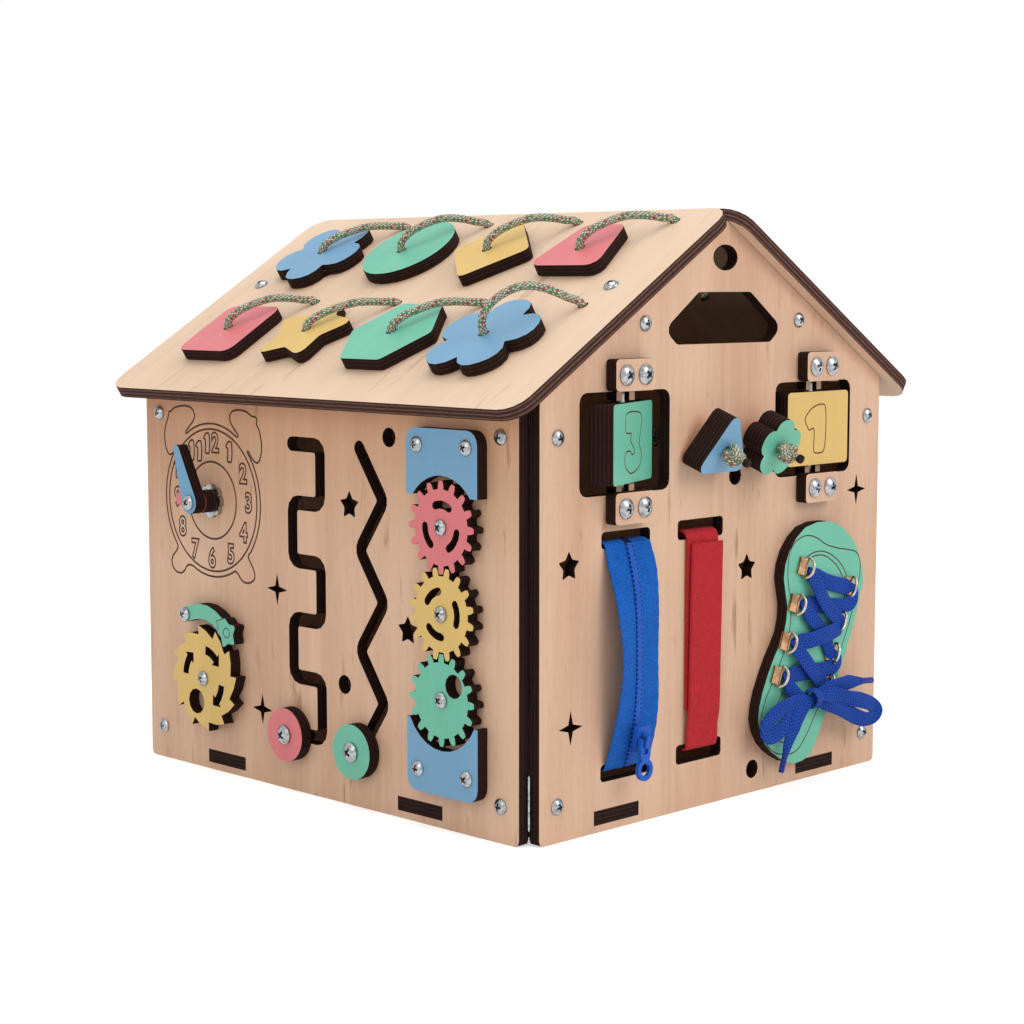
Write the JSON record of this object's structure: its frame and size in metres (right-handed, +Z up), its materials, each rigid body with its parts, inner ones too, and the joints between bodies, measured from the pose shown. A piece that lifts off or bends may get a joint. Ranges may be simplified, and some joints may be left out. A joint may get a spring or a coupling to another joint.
{
  "type": "activity house",
  "caption": "Small plywood play house with a pitched roof; turning, sliding and tethered toys cover one wall, the gable and one roof slope.",
  "frame": {"origin": "centre of the whole part's bounding box without its ropes and lace, on the surface that it stands on", "axes": "+Z up; -Y out of the gable with the number blocks; -X out of the wall with the gears; the ridge runs along Y"},
  "size_m": [0.3192, 0.3504, 0.3085],
  "materials": {
    "birch": "bare birch plywood with laser-browned edges",
    "coral_wood": "plywood with a matt coral face",
    "yellow_wood": "plywood with a matt yellow face",
    "mint_wood": "plywood with a matt mint face",
    "blue_wood": "plywood with a matt blue face",
    "zinc_steel": "zinc plated pan heads and nuts",
    "rope": "braided cord with green and red flecks",
    "zipper_tape": "woven tape with a moulded chain",
    "zipper_metal": "blue painted metal",
    "hook_and_loop": "hook-and-loop tape",
    "lace": "flat woven lace"
  },
  "bodies": {
    "house": {"floor_panel": "birch", "left_wall": "birch", "right_wall": "birch", "front_gable": "birch", "rear_gable": "birch", "left_roof": "birch", "right_roof": "birch", "upper_cap_one": "birch", "upper_cap_three": "birch", "lower_cap_one": "birch", "lower_cap_three": "birch", "clock_rosette": "zinc_steel", "clock_bolt": "zinc_steel", "ratchet_bolt": "zinc_steel", "pawl_bolt": "zinc_steel", "top_gear_bolt": "zinc_steel", "middle_gear_bolt": "zinc_steel", "bottom_gear_bolt": "zinc_steel", "upper_guard": "blue_wood", "lower_guard": "blue_wood", "zip_tape": "zipper_tape", "loop_strap": "hook_and_loop", "shoe_sole": "mint_wood", "shoe_lace": "lace"},
    "hour_hand": {"hour_hand": "coral_wood"},
    "minute_hand": {"minute_hand": "blue_wood"},
    "ratchet_wheel": {"ratchet_wheel": "yellow_wood"},
    "comet_pawl": {"comet_pawl": "mint_wood"},
    "meander_bolt": {"meander_bolt": "zinc_steel"},
    "meander_disc": {"meander_disc": "coral_wood"},
    "zigzag_bolt": {"zigzag_bolt": "zinc_steel"},
    "zigzag_disc": {"zigzag_disc": "mint_wood"},
    "top_gear": {"top_gear": "coral_wood"},
    "middle_gear": {"middle_gear": "yellow_wood"},
    "bottom_gear": {"bottom_gear": "mint_wood"},
    "number_block_three": {"number_block_three": "mint_wood"},
    "number_block_one": {"number_block_one": "yellow_wood"},
    "triangle_knob": {"triangle_knob": "blue_wood", "triangle_rope": "rope"},
    "flower_knob": {"flower_knob": "mint_wood", "flower_rope": "rope"},
    "zip_slider": {"zip_slider": "zipper_metal"},
    "zip_pull": {"zip_pull": "zipper_metal"},
    "hook_strap": {"hook_strap": "hook_and_loop"},
    "cloud_shape": {"cloud_shape": "blue_wood", "cloud_rope": "rope"},
    "circle_shape": {"circle_shape": "mint_wood", "circle_rope": "rope"},
    "diamond_shape": {"diamond_shape": "yellow_wood", "diamond_rope": "rope"},
    "trapezoid_shape": {"trapezoid_shape": "coral_wood", "trapezoid_rope": "rope"},
    "square_shape": {"square_shape": "coral_wood", "square_rope": "rope"},
    "star_shape": {"star_shape": "yellow_wood", "star_rope": "rope"},
    "hexagon_shape": {"hexagon_shape": "mint_wood", "hexagon_rope": "rope"},
    "blossom_shape": {"blossom_shape": "blue_wood", "blossom_rope": "rope"}
  },
  "joints": [
    {"name": "hour_hand_turn", "type": "hinge", "parent": "house", "child": "hour_hand", "pos_m": [-0.1415, 0.095, 0.1496], "axis": [-1, 0, 0], "continuous": true},
    {"name": "minute_hand_turn", "type": "hinge", "parent": "house", "child": "minute_hand", "pos_m": [-0.1415, 0.095, 0.1496], "axis": [-1, 0, 0], "continuous": true},
    {"name": "ratchet_turn", "type": "hinge", "parent": "house", "child": "ratchet_wheel", "pos_m": [-0.1415, 0.097, 0.052], "axis": [-1, 0, 0], "continuous": true},
    {"name": "pawl_lift", "type": "hinge", "parent": "house", "child": "comet_pawl", "pos_m": [-0.1415, 0.1127, 0.0858], "axis": [-1, 0, 0], "range_deg": [0, 25]},
    {"name": "meander_slide", "type": "slide", "parent": "house", "child": "meander_bolt", "axis": [0, -1, 0], "range_m": [0, 0.02]},
    {"name": "meander_disc_turn", "type": "hinge", "parent": "meander_bolt", "child": "meander_disc", "pos_m": [-0.1415, 0.0274, 0.031], "axis": [-1, 0, 0], "continuous": true},
    {"name": "zigzag_slide", "type": "slide", "parent": "house", "child": "zigzag_bolt", "axis": [0, -0.5722, 0.8201], "range_m": [0, 0.03]},
    {"name": "zigzag_disc_turn", "type": "hinge", "parent": "zigzag_bolt", "child": "zigzag_disc", "pos_m": [-0.1415, -0.026, 0.03], "axis": [-1, 0, 0], "continuous": true},
    {"name": "top_gear_turn", "type": "hinge", "parent": "house", "child": "top_gear", "pos_m": [-0.1415, -0.0933, 0.1504], "axis": [-1, 0, 0], "continuous": true},
    {"name": "middle_gear_turn", "type": "hinge", "parent": "house", "child": "middle_gear", "pos_m": [-0.1415, -0.0933, 0.1082], "axis": [-1, 0, 0], "continuous": true},
    {"name": "bottom_gear_turn", "type": "hinge", "parent": "house", "child": "bottom_gear", "pos_m": [-0.1415, -0.0933, 0.066], "axis": [-1, 0, 0], "continuous": true},
    {"name": "block_three_turn", "type": "hinge", "parent": "house", "child": "number_block_three", "pos_m": [-0.0749, -0.14295, 0.1905], "axis": [0, 0, 1], "continuous": true},
    {"name": "block_one_turn", "type": "hinge", "parent": "house", "child": "number_block_one", "pos_m": [0.0749, -0.14295, 0.1905], "axis": [0, 0, 1], "continuous": true},
    {"name": "triangle_knob_pull", "type": "slide", "parent": "house", "child": "triangle_knob", "axis": [0, -1, 0], "range_m": [0, 0.02]},
    {"name": "flower_knob_pull", "type": "slide", "parent": "house", "child": "flower_knob", "axis": [0, -1, 0], "range_m": [0, 0.02]},
    {"name": "zip_slide", "type": "hinge", "parent": "house", "child": "zip_slider", "pos_m": [-0.0741, -0.01408, 0.08615], "axis": [-1, 0, 0], "range_deg": [0, 31]},
    {"name": "zip_pull_swing", "type": "hinge", "parent": "zip_slider", "child": "zip_pull", "pos_m": [-0.0741, -0.15907, 0.04516], "axis": [-1, 0, 0], "range_deg": [0, 110]},
    {"name": "strap_peel", "type": "hinge", "parent": "house", "child": "hook_strap", "pos_m": [-0.0177, -0.1447, 0.031], "axis": [1, 0, 0], "range_deg": [0, 100]},
    {"name": "cloud_lift", "type": "slide", "parent": "house", "child": "cloud_shape", "axis": [-0.5255, 0, 0.8508], "range_m": [0, 0.025]},
    {"name": "circle_lift", "type": "slide", "parent": "house", "child": "circle_shape", "axis": [-0.5255, 0, 0.8508], "range_m": [0, 0.025]},
    {"name": "diamond_lift", "type": "slide", "parent": "house", "child": "diamond_shape", "axis": [-0.5255, 0, 0.8508], "range_m": [0, 0.025]},
    {"name": "trapezoid_lift", "type": "slide", "parent": "house", "child": "trapezoid_shape", "axis": [-0.5255, 0, 0.8508], "range_m": [0, 0.025]},
    {"name": "square_lift", "type": "slide", "parent": "house", "child": "square_shape", "axis": [-0.5255, 0, 0.8508], "range_m": [0, 0.025]},
    {"name": "star_lift", "type": "slide", "parent": "house", "child": "star_shape", "axis": [-0.5255, 0, 0.8508], "range_m": [0, 0.025]},
    {"name": "hexagon_lift", "type": "slide", "parent": "house", "child": "hexagon_shape", "axis": [-0.5255, 0, 0.8508], "range_m": [0, 0.025]},
    {"name": "blossom_lift", "type": "slide", "parent": "house", "child": "blossom_shape", "axis": [-0.5255, 0, 0.8508], "range_m": [0, 0.025]}
  ],
  "couplings": [
    {"joint": "middle_gear_turn", "follows": "top_gear_turn", "ratio": -1},
    {"joint": "bottom_gear_turn", "follows": "top_gear_turn", "ratio": 1}
  ]
}
